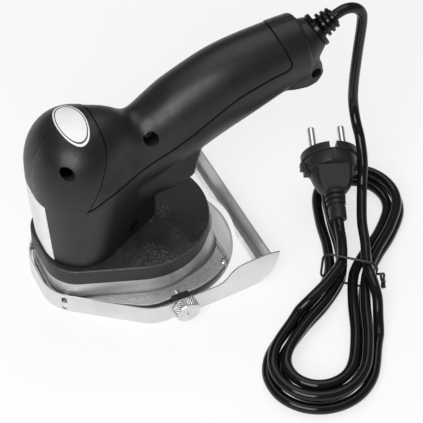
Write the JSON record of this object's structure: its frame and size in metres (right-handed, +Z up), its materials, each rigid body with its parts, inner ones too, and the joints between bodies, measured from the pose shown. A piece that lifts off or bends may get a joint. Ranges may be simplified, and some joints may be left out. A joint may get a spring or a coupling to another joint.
{
  "type": "electric kebab slicer",
  "caption": "Hand-held electric kebab slicer: motor column with arched handle, round blade under a cast gear case, sliding depth gauge and a mains lead tied in a hank.",
  "frame": {"origin": "on the floor under the middle of the machine's bounding box, its lead left out", "axes": "+X towards the tail of the handle, +Y to the machine's right as it is held, +Z up along the blade's axis"},
  "size_m": [0.2348, 0.2243, 0.1517],
  "materials": {
    "housing_black": "satin black moulding",
    "plate_black": "speckled black coat",
    "cast_alloy": "rough casting",
    "blade_steel": "ground",
    "gauge_steel": "brushed sheet",
    "knob_steel": "bright",
    "screw_steel": "zinc plated",
    "bearing_steel": "ground",
    "motor_iron": "laminated",
    "winding_copper": "enamelled copper",
    "carbon": "carbon",
    "nylon": "moulded",
    "switch_black": "moulded",
    "cord_rubber": "satin",
    "tie_black": "satin",
    "pin_nickel": "nickel plated"
  },
  "bodies": {
    "body": {"housing_left": "housing_black", "housing_right": "housing_black", "handle_cover": "housing_black", "base_plate": "plate_black", "gear_case": "cast_alloy", "guide_pin_left": "knob_steel", "guide_pin_right": "knob_steel", "guard_pin_left": "knob_steel", "guard_pin_right": "knob_steel", "screw_head": "screw_steel", "screw_foot": "screw_steel", "screw_tail": "screw_steel", "screw_cover": "screw_steel", "bearing_top": "bearing_steel", "bearing_bottom": "bearing_steel", "spindle_bearing_lower": "bearing_steel", "spindle_bearing_upper": "bearing_steel", "motor_field": "motor_iron", "field_coil_lower": "winding_copper", "field_coil_upper": "winding_copper", "brush_left": "carbon", "brush_right": "carbon", "switch_body": "switch_black", "strain_relief": "cord_rubber", "cord_lead": "cord_rubber", "cord_hank": "cord_rubber", "cord_tail": "cord_rubber", "plug_body": "cord_rubber", "cord_tie": "tie_black", "plug_pin_left": "pin_nickel", "plug_pin_right": "pin_nickel"},
    "blade_body": {"blade": "blade_steel", "spindle": "blade_steel", "blade_gear": "blade_steel", "blade_nut": "blade_steel"},
    "armature_body": {"motor_shaft": "blade_steel", "armature_core": "motor_iron", "commutator": "winding_copper", "cooling_fan": "nylon", "motor_pinion": "blade_steel"},
    "gauge": {"gauge_band": "gauge_steel", "gauge_bar": "gauge_steel"},
    "knob_left": {"thumb_knob_left": "knob_steel"},
    "knob_right": {"thumb_knob_right": "knob_steel"},
    "trigger": {"switch_trigger": "nylon"}
  },
  "joints": [
    {"name": "blade_spin", "type": "hinge", "parent": "body", "child": "blade_body", "pos_m": [-0.0204, 0, 0.003], "axis": [0, 0, 1], "continuous": true},
    {"name": "armature_spin", "type": "hinge", "parent": "body", "child": "armature_body", "pos_m": [-0.06665, 0, 0.06], "axis": [0, 0, 1], "continuous": true},
    {"name": "gauge_slide", "type": "slide", "parent": "body", "child": "gauge", "axis": [0, 0, 1], "range_m": [-0.0023, 0.0047]},
    {"name": "knob_left_turn", "type": "hinge", "parent": "body", "child": "knob_left", "pos_m": [-0.0264, -0.0581, 0.0086], "axis": [0, -1, 0], "range_deg": [0, 360]},
    {"name": "knob_right_turn", "type": "hinge", "parent": "body", "child": "knob_right", "pos_m": [-0.0264, 0.0581, 0.0086], "axis": [0, 1, 0], "range_deg": [0, 360]},
    {"name": "trigger_press", "type": "slide", "parent": "body", "child": "trigger", "axis": [-1, 0, 0], "range_m": [0, 0.0024], "stiffness_N_per_m": 800, "springref_m": -0.002}
  ],
  "couplings": [
    {"joint": "armature_spin", "follows": "blade_spin", "ratio": -2.3636}
  ]
}
